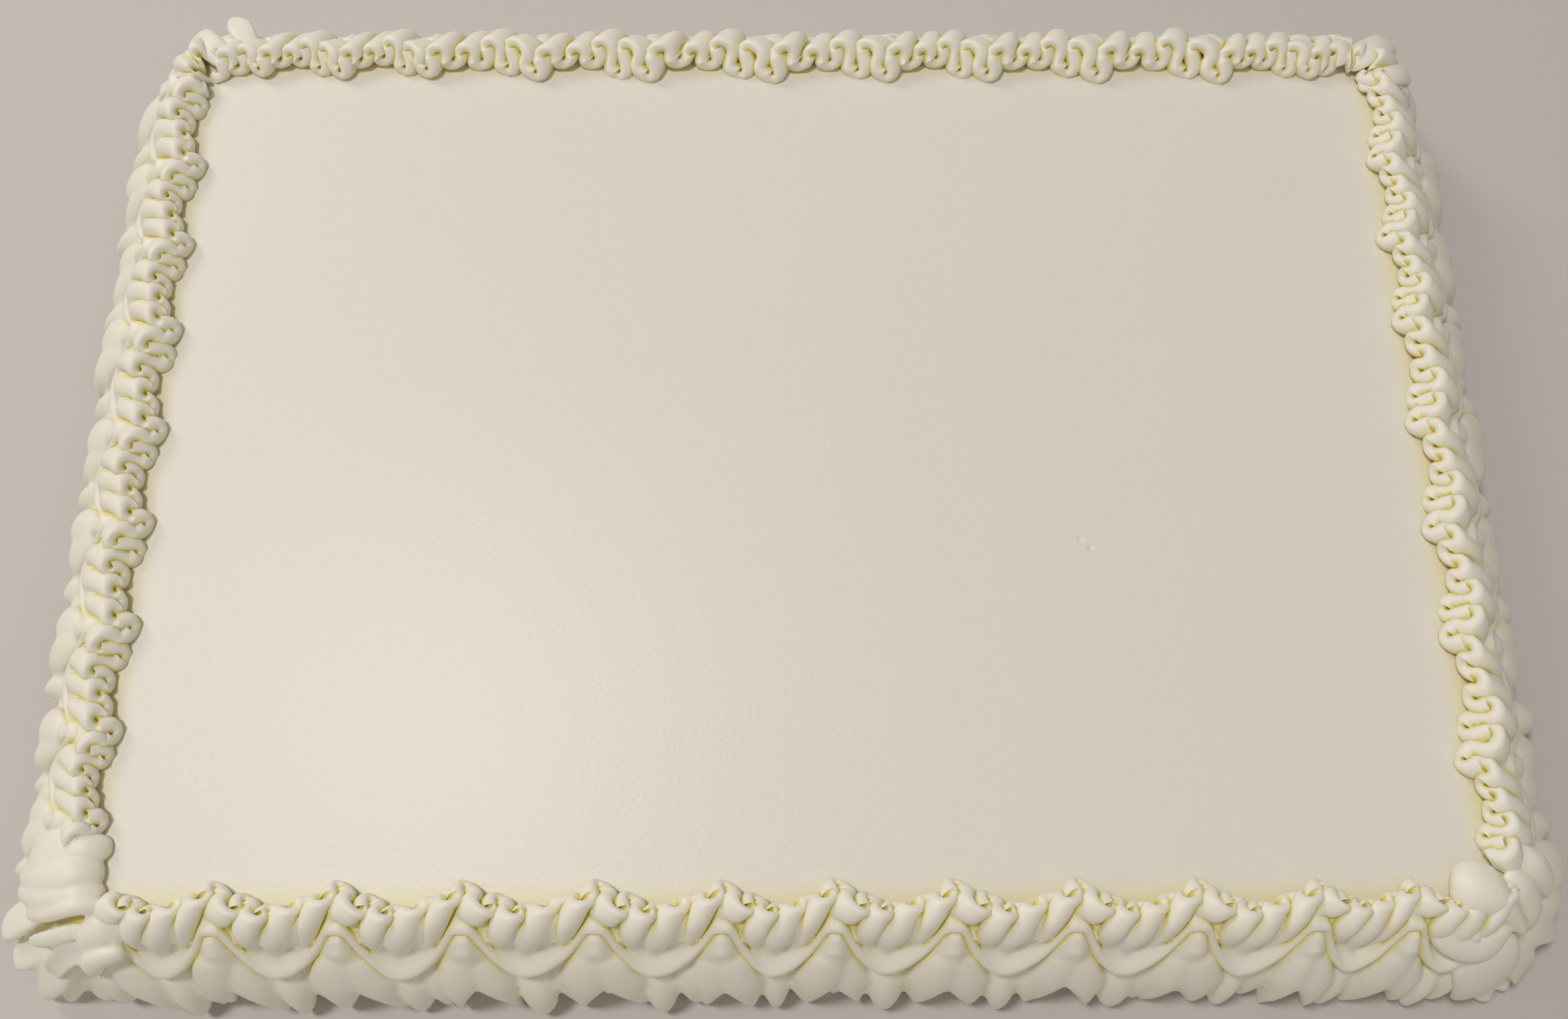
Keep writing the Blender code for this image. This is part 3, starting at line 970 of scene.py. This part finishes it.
def mark_occlusion_shade(pieces):
    """Writes how closed in each point is by the icing round it, 0 to 1, as the attribute that the
    piped icing turns into painted shade.
    """
    bm = bmesh.new()
    for piece in pieces:
        bm.from_mesh(piece.data)
    bm.from_mesh(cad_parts["iced_cake"].data)
    tree = BVHTree.FromBMesh(bm)
    bm.free()
    for piece in pieces:
        mesh = piece.data
        count = len(mesh.vertices)
        places = np.empty(count * 3, dtype=np.float32)
        mesh.vertices.foreach_get("co", places)
        places = places.reshape(-1, 3)
        normals = np.empty(count * 3, dtype=np.float32)
        mesh.vertex_normals.foreach_get("vector", normals)
        normals = normals.reshape(-1, 3)
        aid = np.where(np.abs(normals[:, 2:]) < 0.9, [[0.0, 0.0, 1.0]], [[1.0, 0.0, 0.0]])
        side = np.cross(normals, aid)
        side /= np.maximum(np.linalg.norm(side, axis=1, keepdims=True), 1e-9)
        other = np.cross(normals, side)
        starts = (places + normals * FEEL_START).tolist()
        shut = np.zeros(count)
        for x, y, z in FEELERS:
            ways = (side * x + other * y + normals * z).tolist()
            for index, (start, way) in enumerate(zip(starts, ways)):
                gap = tree.ray_cast(start, way, FEEL_REACH)[3]
                if gap is not None:
                    shut[index] += 1.0 - gap / FEEL_REACH
        shut = (shut / len(FEELERS)).astype(np.float32)
        layer = mesh.attributes.new("crease", "FLOAT", "POINT")
        layer.data.foreach_set("value", shut)


def add_piping():
    icing = piped_icing()
    for name, stretch in border_line().items():
        under = swept(stretch, under_strands if name in FOLDED else under_ribbon)
        if name in FOLDED:
            strands = [strand(*form) for form in FOLDED[name]]
            ruffle = fused(f"ruffle_{name}", [under, *strands], CORNER_VOXEL)
        else:
            over = [strand(*form) for form in LAID_OVER.get(name, ())]
            ruffle = joined(f"ruffle_{name}", [ribbon(stretch), under, *over])
        if name in FOOTED:
            lobes = [strand(*form) for form in FOOTED[name]]
        else:
            lobes = petal_lobes(stretch)
        behind = swept(stretch, under_petals)
        petals = fused(f"petals_{name}", [behind, *lobes], PETAL_VOXEL)
        # Painted shade for the folds, from how closed in each point is
        mark_occlusion_shade([ruffle, petals])
        for piece, node in (
            (ruffle, f"top_ruffle_{name}"),
            (petals, f"foot_petals_{name}"),
        ):
            piece.data.materials.clear()
            piece.data.materials.append(icing)
            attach(piece, "root")
            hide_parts(node)


def add_cake():
    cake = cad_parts["iced_cake"]
    cake.data.materials.clear()
    cake.data.materials.append(smooth_icing())


# Camera, from the photograph: focal length and place of the lens, and its turn
FOCAL_PIXELS = 2000.0
IMAGE_WIDTH = 2380.0
SENSOR_WIDTH = 36.0
LENS_SPOT = (-0.0044, -0.1418, 0.4302)
LENS_TILT, LENS_YAW, LENS_ROLL = 17.30, -1.33, 1.15


def add_camera():
    data = bpy.data.cameras.new("camera")
    data.sensor_width = SENSOR_WIDTH
    data.lens = data.sensor_width * FOCAL_PIXELS / IMAGE_WIDTH
    data.clip_start = 0.01
    camera = bpy.data.objects.new("camera", data)
    bpy.context.scene.collection.objects.link(camera)
    turn = (
        Matrix.Rotation(math.radians(LENS_YAW), 4, "Z")
        @ Matrix.Rotation(math.radians(LENS_TILT), 4, "X")
        @ Matrix.Rotation(math.radians(LENS_ROLL), 4, "Z")
    )
    camera.matrix_world = Matrix.Translation(LENS_SPOT) @ turn
    bpy.context.scene.camera = camera


# The lamps, all aimed at the origin: place, width in m, watts, tint, and share of shine
LAMPS = {
    "key": ((-0.62, 0.16, 2.0), 0.35, 17.0, (1.0, 0.96, 0.93), 1.0),
    "side": ((-1.6, 1.5, 1.5), 0.9, 15.5, (1.0, 0.93, 0.83), 0.0),
    "fill": ((1.2, -0.7, 1.9), 1.2, 2.4, (1.0, 0.94, 0.86), 0.3),
    "bounce": ((0.0, -1.4, 0.6), 0.8, 1.5, (1.0, 0.86, 0.68), 0.3),
}
SKY_TINT = (1.0, 0.96, 0.9)
SKY_STRENGTH = 0.22
FLOOR_TONE = (0.62, 0.60, 0.57)
FLOOR_HALF_SIZE = 3.0


def add_light(name, spot, size, power, tint, shine):
    data = bpy.data.lights.new(name, "AREA")
    data.shape = "DISK"
    data.size = size
    data.energy = power
    data.color = tint
    data.specular_factor = shine
    light = bpy.data.objects.new(name, data)
    light.location = spot
    light.rotation_euler = (-Vector(spot)).to_track_quat("-Z", "Y").to_euler()
    bpy.context.scene.collection.objects.link(light)


def add_studio():
    floor_mesh = bpy.data.meshes.new("floor")
    bm = bmesh.new()
    bmesh.ops.create_grid(bm, x_segments=1, y_segments=1, size=FLOOR_HALF_SIZE)
    bm.to_mesh(floor_mesh)
    bm.free()
    floor = bpy.data.objects.new("floor", floor_mesh)
    bpy.context.scene.collection.objects.link(floor)
    paint = Recipe("pale_floor")
    paint.set(Base_Color=colour(*FLOOR_TONE), Roughness=0.8)
    floor_mesh.materials.append(paint.material)
    for name, lamp in LAMPS.items():
        add_light(name, *lamp)
    world = bpy.data.worlds.new("studio")
    bpy.context.scene.world = world
    world.use_nodes = True
    sky = world.node_tree.nodes["Background"]
    sky.inputs["Color"].default_value = colour(*SKY_TINT)
    sky.inputs["Strength"].default_value = SKY_STRENGTH
    bpy.context.scene.view_settings.view_transform = "Standard"


add_camera()
add_studio()
add_cake()
add_piping()
